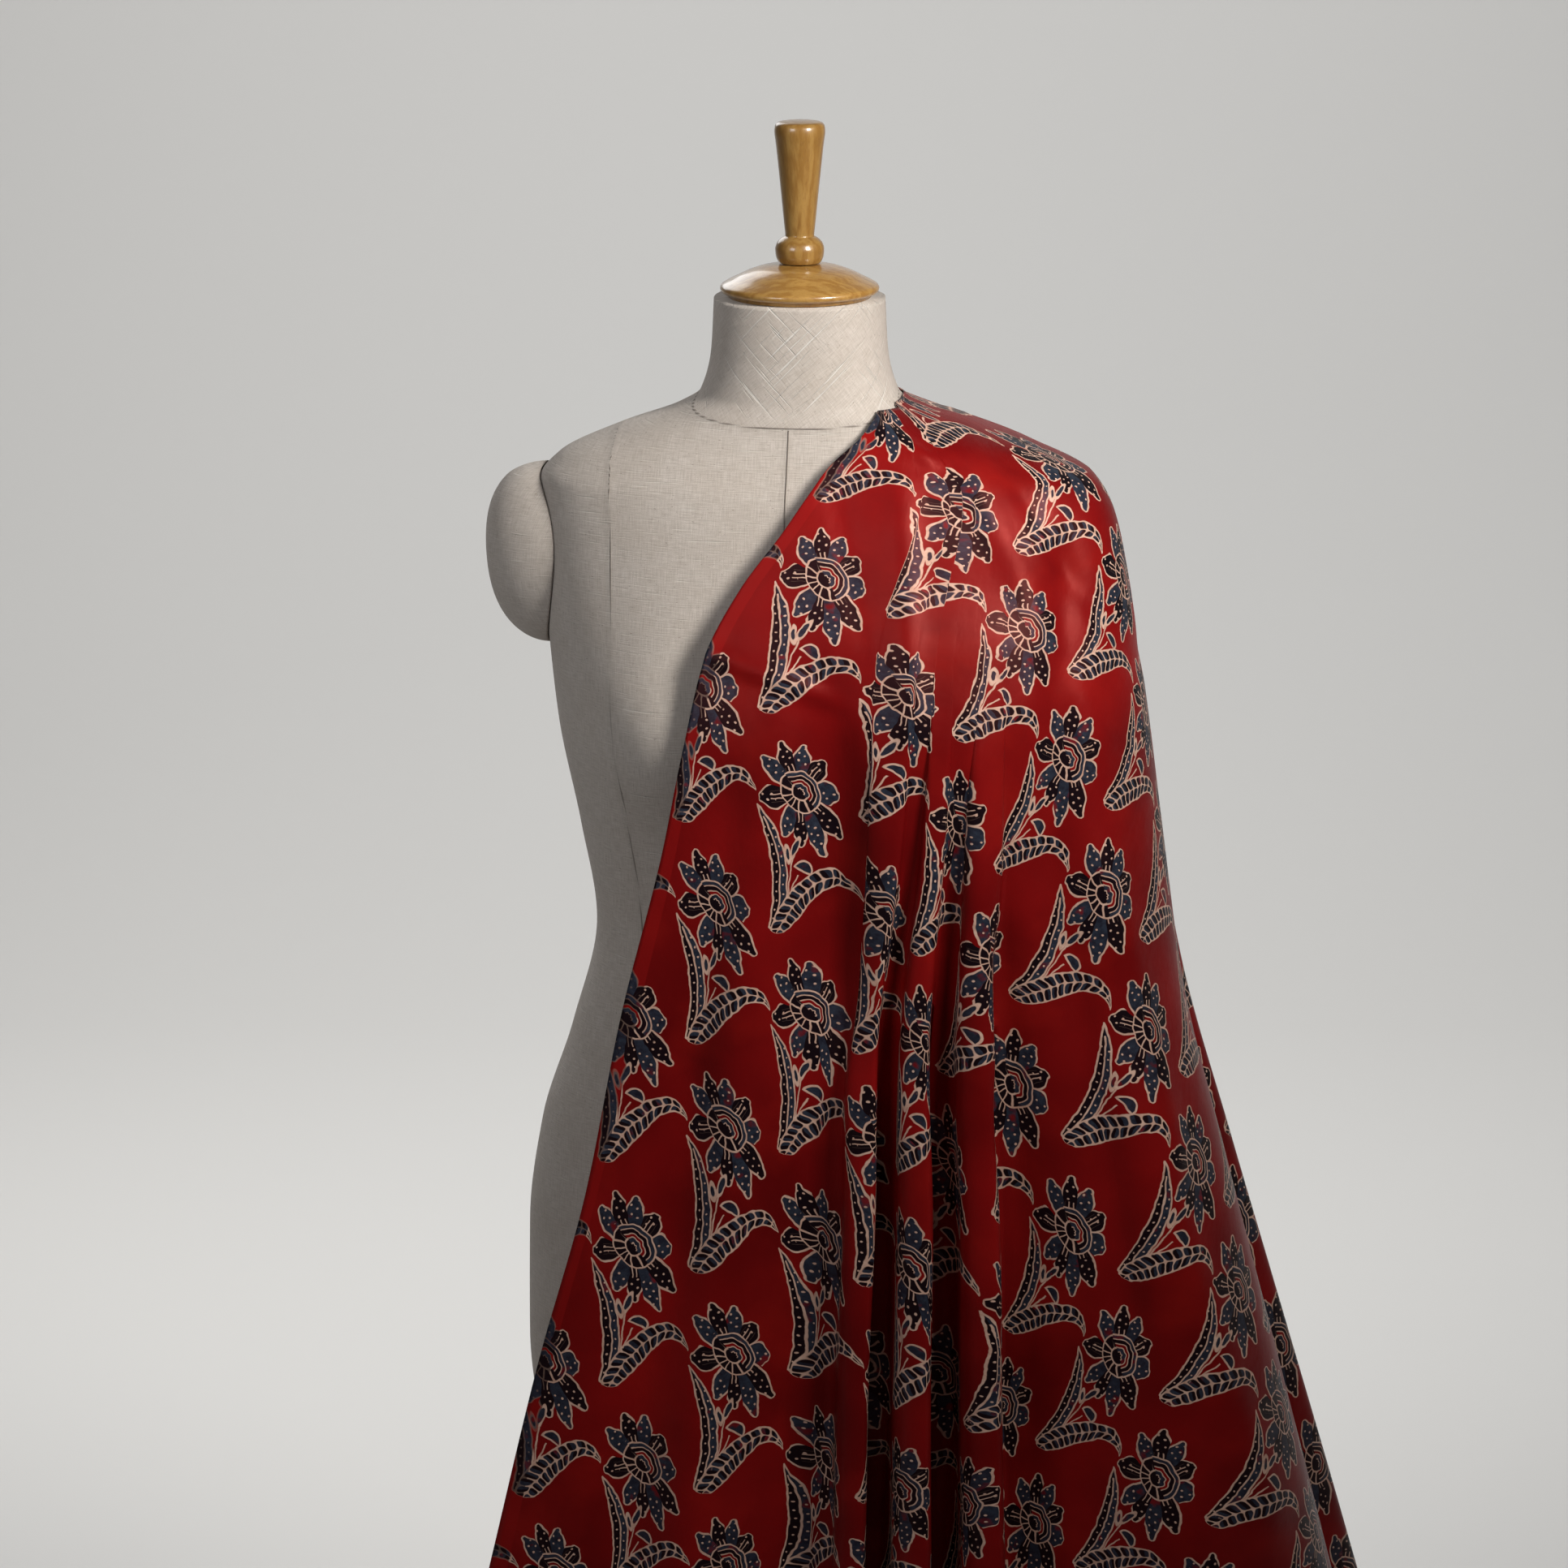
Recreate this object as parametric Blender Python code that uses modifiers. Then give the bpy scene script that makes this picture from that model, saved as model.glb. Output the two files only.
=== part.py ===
# Ajrakh cloth draped on a linen dress form with a turned stand
# Metres, +Z up, origin at the centre of the base's underside, viewer's side is -Y
import bpy
import bmesh
import numpy as np
from math import pi, radians, sin, cos

# Driving dimensions
gap = 0.0004
form_turn = radians(-7)
form_power = 2.2
cloth_thick = 0.0018
base_radius = 0.205
pole_radius = 0.0175
torso_bottom = 0.620
neck_top = 1.466
finial_top = 1.590

# The form's level sections: height, half width, front depth, back depth
form_rows = np.array((
    (0.620, 0.190, 0.120, 0.122),
    (0.700, 0.198, 0.126, 0.132),
    (0.788, 0.197, 0.127, 0.134),
    (0.863, 0.187, 0.120, 0.122),
    (0.936, 0.164, 0.108, 0.104),
    (1.015, 0.146, 0.100, 0.088),
    (1.088, 0.157, 0.110, 0.092),
    (1.165, 0.172, 0.120, 0.102),
    (1.240, 0.180, 0.112, 0.110),
    (1.300, 0.184, 0.096, 0.108),
    (1.335, 0.185, 0.084, 0.100),
    (1.352, 0.172, 0.076, 0.090),
    (1.372, 0.131, 0.068, 0.076),
    (1.388, 0.088, 0.063, 0.064),
    (1.400, 0.070, 0.060, 0.060),
    (1.430, 0.062, 0.058, 0.058),
    (1.466, 0.060, 0.058, 0.058),
))

# Bust points of the form in its own frame: side, height, lift, spread
bust = dict(side=0.088, height=1.172, lift=0.027, wide=0.055, tall=0.062)

# Arm caps: middle depth, middle height, half depth, half height, bulge
arm = dict(depth=0.004, height=1.279, half_depth=0.050, half_height=0.065, bulge=0.0404)

# The cloth's level sections: height, left edge, right side, back edge,
# front depth, back depth
cloth_rows = np.array((
    (0.050, -0.345, 0.512, 0.262, 0.172, 0.165),
    (0.560, -0.224, 0.383, 0.236, 0.166, 0.155),
    (0.721, -0.186, 0.341, 0.222, 0.163, 0.150),
    (0.849, -0.151, 0.307, 0.212, 0.160, 0.146),
    (0.980, -0.125, 0.274, 0.200, 0.157, 0.140),
    (1.097, -0.096, 0.257, 0.184, 0.156, 0.130),
    (1.172, -0.081, 0.247, 0.160, 0.155, 0.124),
    (1.238, -0.065, 0.237, 0.124, 0.142, 0.124),
    (1.280, -0.042, 0.230, 0.096, 0.124, 0.122),
    (1.319, -0.006, 0.221, 0.076, 0.110, 0.117),
    (1.345, 0.016, 0.206, 0.064, 0.097, 0.109),
    (1.363, 0.031, 0.169, 0.060, 0.088, 0.100),
    (1.383, 0.051, 0.124, 0.058, 0.078, 0.086),
    (1.392, 0.060, 0.104, 0.057, 0.072, 0.076),
    (1.400, 0.067, 0.084, 0.060, 0.066, 0.066),
))

# Where the folds lie, as shares of the way from the left edge to the right
# side: height, trough beside the first fold, then the three folds' crests
fold_rows = np.array((
    (0.050, 0.395, 0.438, 0.510, 0.595),
    (0.560, 0.380, 0.438, 0.516, 0.604),
    (0.849, 0.360, 0.436, 0.523, 0.626),
    (1.097, 0.335, 0.444, 0.526, 0.640),
    (1.400, 0.335, 0.444, 0.526, 0.640),
))

# The hem's height at the left corner, at each trough and crest, at the
# lowest corner, at the right side and at the back edge
hem_heights = (0.525, 0.455, 0.405, 0.345, 0.290, 0.230, 0.165, 0.085, 0.400, 0.560)
strip_columns = (9, 4, 3, 4, 3, 4, 3, 8, 13)
cloth_row_count = 38
cloth_top = 1.3905
fold_start = 1.185
fold_growth = 0.088
fold_limit = 0.058
fold_flank = 0.013
flute_start = 1.20
flute_growth = 0.062

render_levels = 1
turned_steps = 40


def smooth_rows(table, heights):
    # Read every column of a table at the heights, with slopes that never overshoot
    z = table[:, 0]
    v = table[:, 1:]
    step = np.diff(z)[:, None]
    slope = np.diff(v, axis=0) / step
    mid = np.zeros_like(v)
    both = slope[:-1] * slope[1:]
    total = slope[:-1] + slope[1:]
    mid[1:-1] = np.where(both > 0, 2 * both / np.where(total == 0, 1, total), 0)
    mid[0], mid[-1] = slope[0], slope[-1]
    h = np.clip(np.asarray(heights, float), z[0], z[-1])
    k = np.clip(np.searchsorted(z, h, side="right") - 1, 0, len(z) - 2)
    w = step[k, 0]
    t = ((h - z[k]) / w)[..., None]
    w = w[..., None]
    return (v[k] * (2 * t**3 - 3 * t**2 + 1) + v[k + 1] * (3 * t**2 - 2 * t**3)
            + mid[k] * w * (t**3 - 2 * t**2 + t) + mid[k + 1] * w * (t**3 - t**2))


def turned(points):
    # Turn points of the form by the form's own angle
    x, y, z = points[..., 0], points[..., 1], points[..., 2]
    c, s = cos(form_turn), sin(form_turn)
    return np.stack((x * c - y * s, x * s + y * c, z), axis=-1)


def form_points(angle, height, grow=0.0):
    # Points of the form's skin, angle 0 at its right side and 90 at its front
    half, front, back = np.moveaxis(smooth_rows(form_rows, height), -1, 0)
    c, s = np.cos(angle), np.sin(angle)
    e = 2 / form_power
    x = (half + grow) * np.sign(c) * np.abs(c)**e
    y = -(np.where(s > 0, front, back) + grow) * np.sign(s) * np.abs(s)**e
    rise = np.zeros_like(x)
    for side in (-1, 1):
        rise += np.exp(-((x - side * bust["side"]) / bust["wide"])**2
                       - ((height - bust["height"]) / bust["tall"])**2)
    y = y - bust["lift"] * rise * np.clip(s * 3, 0, 1)
    return np.stack((x, y, height + 0 * x), axis=-1)


def material(name, colour, roughness, metallic=0.0):
    m = bpy.data.materials.new(name)
    m.use_nodes = True
    shader = m.node_tree.nodes["Principled BSDF"]
    shader.inputs["Base Color"].default_value = (*colour, 1)
    shader.inputs["Roughness"].default_value = roughness
    shader.inputs["Metallic"].default_value = metallic
    return m


def add_object(name, verts, faces, mat):
    mesh = bpy.data.meshes.new(name)
    mesh.from_pydata([tuple(map(float, v)) for v in verts], [], faces)
    obj = bpy.data.objects.new(name, mesh)
    home.objects.link(obj)
    mesh.materials.append(mat)
    mesh.polygons.foreach_set("use_smooth", [True] * len(mesh.polygons))
    return obj


def close_mesh(obj):
    # Merge doubles and point every face outwards
    bm = bmesh.new()
    bm.from_mesh(obj.data)
    bmesh.ops.remove_doubles(bm, verts=bm.verts, dist=1e-6)
    bmesh.ops.recalc_face_normals(bm, faces=bm.faces)
    bm.to_mesh(obj.data)
    bm.free()


def ring_loft(name, rings, mat):
    # Join closed rings in order and fill both ends with a fan
    count, around = rings.shape[:2]
    verts = list(rings.reshape(-1, 3))
    faces = []
    for r in range(count - 1):
        for k in range(around):
            n = (k + 1) % around
            faces.append((r * around + k, r * around + n,
                          (r + 1) * around + n, (r + 1) * around + k))
    for r in (0, count - 1):
        middle = len(verts)
        verts.append(rings[r].mean(axis=0))
        faces += [(r * around + k, r * around + (k + 1) % around, middle)
                  for k in range(around)]
    obj = add_object(name, verts, faces, mat)
    close_mesh(obj)
    return obj


def turned_piece(name, profile, mat, steps=turned_steps):
    # Screw a profile of radius and height about the upright axis
    mesh = bpy.data.meshes.new(name)
    mesh.from_pydata([(r, 0, z) for r, z in profile], [],
                     [(k, k + 1) for k in range(len(profile) - 1)])
    obj = bpy.data.objects.new(name, mesh)
    home.objects.link(obj)
    screw = obj.modifiers.new("turn", "SCREW")
    screw.steps = screw.render_steps = steps
    screw.use_merge_vertices = True
    screw.merge_threshold = 1e-5
    screw.use_smooth_shade = True
    mesh.materials.append(mat)
    return obj


def arc(centre, radius, start, end, count):
    # Profile points on an arc, angles in degrees from the level
    out = []
    for k in range(count + 1):
        a = radians(start + (end - start) * k / count)
        out.append((centre[0] + radius[0] * cos(a), centre[1] + radius[1] * sin(a)))
    return out


# Dress form: the torso with its neck, one loft of level rings
def make_torso(mat):
    low = np.linspace(torso_bottom, 1.20, 17)
    high = np.linspace(1.225, 1.325, 5)
    shoulder = np.array((1.338, 1.346, 1.354, 1.363, 1.372, 1.380, 1.388, 1.396, 1.410, 1.430))
    heights = np.concatenate((low, high, shoulder, (neck_top,)))
    angles = np.linspace(0, 2 * pi, 44, endpoint=False)
    grid_h, grid_a = np.meshgrid(heights, angles, indexing="ij")
    return ring_loft("torso", turned(form_points(grid_a, grid_h)), mat)


# Padded cap on one armhole, side 1 is the viewer's right
def make_arm_cap(name, side, mat):
    rings, around = 7, 26
    reach = np.sin(np.linspace(0.0, pi / 2, rings + 1))[1:]
    turn = np.linspace(0, 2 * pi, around, endpoint=False)
    r, t = np.meshgrid(reach, turn, indexing="ij")

    def skin(r, t, outer):
        y = arm["depth"] + arm["half_depth"] * r * np.cos(t)
        z = arm["height"] + arm["half_height"] * r * np.sin(t)
        half, front, back = np.moveaxis(smooth_rows(form_rows, z), -1, 0)
        depth = np.where(y < 0, front, back)
        x = half * (1 - np.abs(y / depth)**form_power)**(1 / form_power) + 0.0012
        x = x + outer * arm["bulge"] * np.sqrt(np.clip(1 - r**2.6, 0, 1))
        return turned(np.stack((side * x, y, z), axis=-1))

    inner, outer = skin(r, t, 0), skin(r, t, 1)
    verts = [skin(np.zeros(1), np.zeros(1), 0)[0]] + list(inner.reshape(-1, 3))
    top = len(verts)
    verts += list(outer[:-1].reshape(-1, 3)) + [skin(np.zeros(1), np.zeros(1), 1)[0]]
    rim = 1 + (rings - 1) * around
    faces = []
    for shell, first, middle in ((0, 1, 0), (1, top, len(verts) - 1)):
        for k in range(around):
            n = (k + 1) % around
            faces.append((middle, first + k, first + n))
            for ring in range(rings - 1):
                a, b = first + ring * around, first + (ring + 1) * around
                if shell and ring == rings - 2:
                    b = rim
                faces.append((a + k, b + k, b + n, a + n))
    obj = add_object(name, verts, faces, mat)
    close_mesh(obj)
    return obj


def fold_shape(u):
    # Depth share of the cloth across its strips: 1 on a crest, 0 in a trough
    marks = np.array((0.0, 0.35, 0.92, 0.14, 1.0, 0.0, 0.94, 0.0, 1.0, 1.0))
    k = np.clip(np.floor(u).astype(int), 0, 8)
    t = u - k
    ease = 0.5 - 0.5 * np.cos(pi * t)
    shape = marks[k] * (1 - ease) + marks[k + 1] * ease
    fall = np.clip((u - 0.55) / 0.45, 0, 1)
    left = 1 - (1 - marks[1]) * fall**2 * (3 - 2 * fall)
    left = left - 0.22 * np.exp(-((u - 0.42) / 0.13)**2)
    right = np.clip((u - 7) / 0.42, 0, 1)
    right = right**2 * (3 - 2 * right)
    return np.where(u < 1, left, np.where(u > 7, right, shape))


def cloth_points(u, z):
    # Point of the cloth at strip coordinate u, 0 at the left edge, 8 at the
    # right side and 9 at the back edge, and at height z
    left, right, rear, front, back = np.moveaxis(smooth_rows(cloth_rows, z), -1, 0)
    shares = smooth_rows(fold_rows, z)
    wide = right - left
    lean = fold_flank * np.clip(wide / 0.30, 0, 1)
    crest = [left + shares[..., k] * wide for k in range(4)]
    marks = np.stack((left, crest[0], crest[1], crest[1] + lean, crest[2], crest[2] + lean,
                      crest[3], crest[3] + lean, right), axis=-1)
    k = np.clip(np.floor(u).astype(int), 0, 7)
    t = np.clip(u - k, 0, 1)
    # Crests and troughs are round, and the flanks between them steep
    t = t + np.where(k > 0, 0.9, 0) * np.sin(2 * pi * t) / (2 * pi)
    across = (np.take_along_axis(marks, k[..., None], -1)[..., 0] * (1 - t)
              + np.take_along_axis(marks, k[..., None] + 1, -1)[..., 0] * t)
    power = 2.3
    # From the last fold on, the cloth runs by angle round the right side
    start = np.arccos(np.clip(marks[..., 7] / right, -1, 1)**(power / 2))
    end = np.arccos(np.clip(rear / right, -1, 1)**(power / 2))
    angle = np.where(u < 8, start * (8 - u), -end * (u - 8))
    angle = np.where(u < 7, 0.5, angle)
    side = right * np.cos(angle)**(2 / power)
    x = np.where(u < 7, across, side)
    span = np.where(x < 0, right + 0.10, right)
    envelope = np.clip(1 - (np.abs(x) / span)**power, 0, 1)**(1 / power)
    y = np.where(angle < 0, back, -front) * envelope - np.tan(-form_turn) * x
    depth = np.minimum(fold_growth * np.clip(fold_start - z, 0, None), fold_limit)
    y = y + depth * (1 - fold_shape(u))
    # Flutes that hang behind the right side
    round_back = np.clip(u - 8, 0, 1)
    flute = flute_growth * np.clip(flute_start - z, 0, None)**1.1
    wave = -flute * np.sin(round_back * 2.25 * 2 * pi) * np.sin(pi * np.clip(round_back * 1.2, 0, 0.5))
    x = x + wave * np.cos(angle) * (u > 8)
    y = y - wave * np.sin(angle) * (u > 8)
    return np.stack((x, y, z + 0 * x), axis=-1)


# The cloth, one open sheet of columns and rows, then thickened
def make_cloth(mat):
    columns = np.concatenate([k + np.arange(n) / n for k, n in enumerate(strip_columns)] + [[9.0]])
    rows = np.linspace(0, 1, cloth_row_count)
    panel = np.clip(columns - 7, 0, 1)
    eased = np.where(panel < 1, 7 * (columns > 7) + np.sin(panel * pi / 2), columns)
    hem = np.interp(np.where(columns > 7, eased, columns), np.arange(10), hem_heights)
    top = cloth_top + 0.004 * np.clip(1 - np.abs(columns - 8) / 3, 0, 1)
    t, u = np.meshgrid(rows**1.55, columns, indexing="ij")
    z = top - (top - hem) * t
    points = cloth_points(u, z)
    count = len(columns)
    faces = [(r * count + k, (r + 1) * count + k, (r + 1) * count + k + 1, r * count + k + 1)
             for r in range(cloth_row_count - 1) for k in range(count - 1)]
    obj = add_object("cloth", points.reshape(-1, 3), faces, mat)
    thick = obj.modifiers.new("thickness", "SOLIDIFY")
    thick.thickness = cloth_thick
    thick.offset = 0
    return obj


# Wooden cap of the neck, and the turned finial on it
def make_cap(mat):
    low = neck_top + gap
    profile = [(0, low), (0.050, low), (0.0505, low + 0.0030), (0.0545, low + 0.0034)]
    profile += arc((0.0535, low + 0.0060), (0.0024, 0.0026), -60, 80, 4)
    profile += [(0.048, low + 0.0118), (0.038, low + 0.0172), (0.026, low + 0.0212),
                (0.016, low + 0.0232), (0, low + 0.0232)]
    return turned_piece("neck_cap", profile, mat)


def make_finial(mat):
    low = neck_top + gap * 2 + 0.0232
    profile = [(0, low)] + arc((0.0060, low + 0.0092), (0.0112, 0.0092), -90, 62, 8)
    profile += [(0.0101, low + 0.0200), (0.0103, low + 0.0215), (0.0132, low + 0.050),
                (0.0168, low + 0.084), (0.0178, low + 0.0925), (0.0172, low + 0.0965),
                (0.0140, low + 0.0990), (0, finial_top)]
    return turned_piece("finial", profile, mat, 28)


# Plate under the torso, pole with its collar, and the round base
def make_plate(mat):
    angles = np.linspace(0, 2 * pi, 44, endpoint=False)
    rings = []
    for drop, grow in ((gap, -0.006), (0.006, -0.006), (0.012, -0.012)):
        ring = form_points(angles, np.full(44, torso_bottom), grow)
        ring[:, 2] = torso_bottom - drop
        rings.append(ring)
    return ring_loft("bottom_plate", turned(np.array(rings)), mat)


def make_pole(mat):
    low, high = 0.046 + gap, torso_bottom - 0.012 - 0.022 - gap * 2
    profile = [(0, low), (pole_radius, low), (pole_radius, high), (0, high)]
    return turned_piece("pole", profile, mat, 28)


def make_collar(mat):
    high = torso_bottom - 0.012 - gap
    low = high - 0.022
    profile = [(0, low), (0.024, low), (0.026, low + 0.002), (0.026, low + 0.008),
               (0.036, low + 0.014), (0.042, low + 0.016), (0.042, high), (0, high)]
    return turned_piece("collar", profile, mat, 32)


def make_base(mat):
    r = base_radius
    profile = [(0, 0), (r - 0.004, 0), (r, 0.004), (r, 0.014), (r - 0.004, 0.018),
               (r - 0.016, 0.020), (r - 0.019, 0.024), (r - 0.050, 0.029), (0.070, 0.034),
               (0.036, 0.038), (0.029, 0.0425), (0.027, 0.046), (0, 0.046)]
    return turned_piece("base", profile, mat, 56)


for old in list(bpy.data.objects):
    bpy.data.objects.remove(old)
home = bpy.data.collections.new("draped_ajrakh_cloth")
bpy.context.scene.collection.children.link(home)

linen = material("linen", (0.50, 0.45, 0.38), 0.85)
print_cloth = material("printed_cloth", (0.36, 0.012, 0.014), 0.48)
wood = material("varnished_wood", (0.45, 0.20, 0.06), 0.30)
metal = material("dark_metal", (0.06, 0.06, 0.065), 0.45, 1.0)

make_torso(linen)
make_arm_cap("arm_cap_left", -1, linen)
make_arm_cap("arm_cap_right", 1, linen)
make_cloth(print_cloth)
make_cap(wood)
make_finial(wood)
make_plate(wood)
make_collar(metal)
make_pole(wood)
make_base(wood)
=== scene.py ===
# Looks of the printed cloth draped on a linen dress form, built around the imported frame
import bmesh
import bpy
import numpy as np
from math import pi, radians, sin, cos
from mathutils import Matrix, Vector


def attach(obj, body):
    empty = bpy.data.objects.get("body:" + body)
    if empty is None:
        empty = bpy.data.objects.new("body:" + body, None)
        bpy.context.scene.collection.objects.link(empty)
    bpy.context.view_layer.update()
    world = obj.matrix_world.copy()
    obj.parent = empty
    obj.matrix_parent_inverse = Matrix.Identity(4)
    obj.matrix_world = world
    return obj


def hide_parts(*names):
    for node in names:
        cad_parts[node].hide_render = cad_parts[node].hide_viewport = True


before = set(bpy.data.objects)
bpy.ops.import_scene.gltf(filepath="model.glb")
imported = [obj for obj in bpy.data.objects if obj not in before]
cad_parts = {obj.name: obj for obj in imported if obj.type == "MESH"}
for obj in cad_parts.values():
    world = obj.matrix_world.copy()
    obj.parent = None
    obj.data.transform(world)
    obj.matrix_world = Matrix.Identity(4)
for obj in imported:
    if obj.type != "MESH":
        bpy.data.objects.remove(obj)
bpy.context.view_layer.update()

# Camera and photograph frame
photoSize = 1932
camera = dict(place=(-0.011, -4.00, 2.10), aim=(-0.011, 0.0, 1.114), lens=132.1, sensor=36.0)

eye = bpy.data.cameras.new("eye")
eye.lens = camera["lens"]
eye.sensor_width = camera["sensor"]
eyeObject = bpy.data.objects.new("eye", eye)
bpy.context.scene.collection.objects.link(eyeObject)
eyeObject.location = camera["place"]
look = Vector(camera["aim"]) - Vector(camera["place"])
eyeObject.rotation_euler = look.to_track_quat("-Z", "Y").to_euler()
bpy.context.scene.camera = eyeObject


# Arithmetic on shader values, so that a pattern reads as its formula
class Wire:
    tree = None    # the node tree of the material being made

    def __init__(self, socket):
        self.socket = socket

    def __add__(self, other): return calc("ADD", self, other)
    def __radd__(self, other): return calc("ADD", other, self)
    def __sub__(self, other): return calc("SUBTRACT", self, other)
    def __rsub__(self, other): return calc("SUBTRACT", other, self)
    def __mul__(self, other): return calc("MULTIPLY", self, other)
    def __rmul__(self, other): return calc("MULTIPLY", other, self)
    def __truediv__(self, other): return calc("DIVIDE", self, other)


def calc(kind, *parts, clamp=False):
    node = Wire.tree.nodes.new("ShaderNodeMath")
    node.operation = kind
    node.use_clamp = clamp
    for k, part in enumerate(parts):
        if isinstance(part, Wire):
            Wire.tree.links.new(part.socket, node.inputs[k])
        else:
            node.inputs[k].default_value = part
    return Wire(node.outputs[0])


def absolute(a): return calc("ABSOLUTE", a)
def larger(a, b): return calc("MAXIMUM", a, b)
def smaller(a, b): return calc("MINIMUM", a, b)
def length(a, b): return calc("SQRT", calc("MULTIPLY_ADD", a, a, b * b))
def inside(d, soft=0.03): return calc("MULTIPLY_ADD", d, -1.0 / soft, 0.5, clamp=True)
def band(d, half, soft=0.03): return inside(absolute(d) - half, soft)
def wrapped(a, step): return absolute(calc("WRAP", a, -step / 2, step / 2))


def node(kind, **settings):
    made = Wire.tree.nodes.new(kind)
    for name, value in settings.items():
        if name in made.inputs:
            if isinstance(value, Wire):
                Wire.tree.links.new(value.socket, made.inputs[name])
            else:
                made.inputs[name].default_value = value
        else:
            setattr(made, name, value)
    return made


def curve(value, points):
    made = Wire.tree.nodes.new("ShaderNodeFloatCurve")
    line = made.mapping.curves[0]
    while len(line.points) < len(points):
        line.points.new(0.5, 0.5)
    for point, (x, y) in zip(line.points, points):
        point.location = (x, y)
    made.mapping.update()
    Wire.tree.links.new(value.socket, made.inputs["Value"])
    return Wire(made.outputs["Value"])


def blendColour(share, a, b):
    made = Wire.tree.nodes.new("ShaderNodeMix")
    made.data_type = "RGBA"
    for slot, value in ((0, share), (6, a), (7, b)):
        if isinstance(value, Wire):
            Wire.tree.links.new(value.socket, made.inputs[slot])
        else:
            made.inputs[slot].default_value = value if slot == 0 else (*value, 1)
    return Wire(made.outputs[2])


def noise(vector, scale, detail=2.0, rough=0.5, colour=False):
    made = node("ShaderNodeTexNoise", Scale=scale, Detail=detail, Roughness=rough)
    Wire.tree.links.new(vector.socket, made.inputs["Vector"])
    return Wire(made.outputs["Color" if colour else "Fac"])


def joined(x, y, z=0.0):
    return Wire(node("ShaderNodeCombineXYZ", X=x, Y=y, Z=z).outputs[0])


def split(vector):
    made = node("ShaderNodeSeparateXYZ", Vector=vector)
    return [Wire(s) for s in made.outputs]


def ranged(value, low, high, toLow=0.0, toHigh=1.0):
    made = node("ShaderNodeMapRange", Value=value)
    for name, v in (("From Min", low), ("From Max", high), ("To Min", toLow), ("To Max", toHigh)):
        made.inputs[name].default_value = v
    return Wire(made.outputs[0])


def newMaterial(name):
    material = bpy.data.materials.new(name)
    material.use_nodes = True
    Wire.tree = material.node_tree
    return material, material.node_tree.nodes["Principled BSDF"]


def bumped(shader, height, distance, strength=1.0):
    made = Wire.tree.nodes.new("ShaderNodeBump")
    made.inputs["Distance"].default_value = distance
    made.inputs["Strength"].default_value = strength
    Wire.tree.links.new(height.socket, made.inputs["Height"])
    Wire.tree.links.new(made.outputs[0], shader.inputs["Normal"])


def feed(shader, name, value):
    Wire.tree.links.new(value.socket, shader.inputs[name])


# Shapes shared with the source of the solids
form = dict(turn=radians(-7), power=2.2, bottom=0.620, top=1.466)
# Height, half width, depth in front and depth behind
formRows = np.array((
    (0.620, 0.190, 0.120, 0.122),
    (0.700, 0.198, 0.126, 0.132),
    (0.788, 0.197, 0.127, 0.134),
    (0.863, 0.187, 0.120, 0.122),
    (0.936, 0.164, 0.108, 0.104),
    (1.015, 0.146, 0.100, 0.088),
    (1.088, 0.157, 0.110, 0.092),
    (1.165, 0.172, 0.120, 0.102),
    (1.240, 0.180, 0.112, 0.110),
    (1.300, 0.184, 0.096, 0.108),
    (1.335, 0.185, 0.084, 0.100),
    (1.352, 0.172, 0.076, 0.090),
    (1.372, 0.131, 0.068, 0.076),
    (1.388, 0.088, 0.063, 0.064),
    (1.400, 0.070, 0.060, 0.060),
    (1.430, 0.062, 0.058, 0.058),
    (1.466, 0.060, 0.058, 0.058),
))
bust = dict(side=0.088, height=1.172, lift=0.027, wide=0.055, tall=0.062)
arm = dict(depth=0.004, height=1.279, halfDepth=0.050, halfHeight=0.065, bulge=0.0404)

# Height, left edge, right side, rear edge, depth in front and depth behind
clothRows = np.array((
    (0.050, -0.345, 0.512, 0.262, 0.172, 0.165),
    (0.560, -0.224, 0.383, 0.236, 0.166, 0.155),
    (0.721, -0.186, 0.341, 0.222, 0.163, 0.150),
    (0.849, -0.151, 0.307, 0.212, 0.160, 0.146),
    (0.980, -0.125, 0.274, 0.200, 0.157, 0.140),
    (1.097, -0.096, 0.257, 0.184, 0.156, 0.130),
    (1.172, -0.081, 0.247, 0.160, 0.155, 0.124),
    (1.238, -0.065, 0.237, 0.124, 0.142, 0.124),
    (1.280, -0.042, 0.230, 0.096, 0.124, 0.122),
    (1.319, -0.012, 0.221, 0.076, 0.110, 0.117),
    (1.345, 0.007, 0.206, 0.064, 0.097, 0.109),
    (1.363, 0.021, 0.169, 0.060, 0.088, 0.100),
    (1.383, 0.048, 0.124, 0.058, 0.078, 0.086),
    (1.392, 0.069, 0.104, 0.057, 0.072, 0.076),
    (1.400, 0.084, 0.086, 0.060, 0.066, 0.066),
))
# Height and the places of four fold crests, as shares of the cloth's width
foldRows = np.array((
    (0.050, 0.395, 0.438, 0.510, 0.595),
    (0.560, 0.380, 0.438, 0.516, 0.604),
    (0.849, 0.360, 0.436, 0.523, 0.626),
    (1.097, 0.335, 0.444, 0.526, 0.640),
    (1.400, 0.335, 0.444, 0.526, 0.640),
))
hemHeights = (0.525, 0.455, 0.405, 0.345, 0.290, 0.230, 0.165, 0.085, 0.400, 0.560)
fold = dict(start=1.205, growth=0.115, limit=0.060, crispAt=0.034, soft=0.024, sharp=0.001, round=0.0040,
            fullWidth=0.30)
flute = dict(start=1.20, growth=0.062, waves=2.25)
drapePower = 2.3
clothTop = 1.3905


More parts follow.
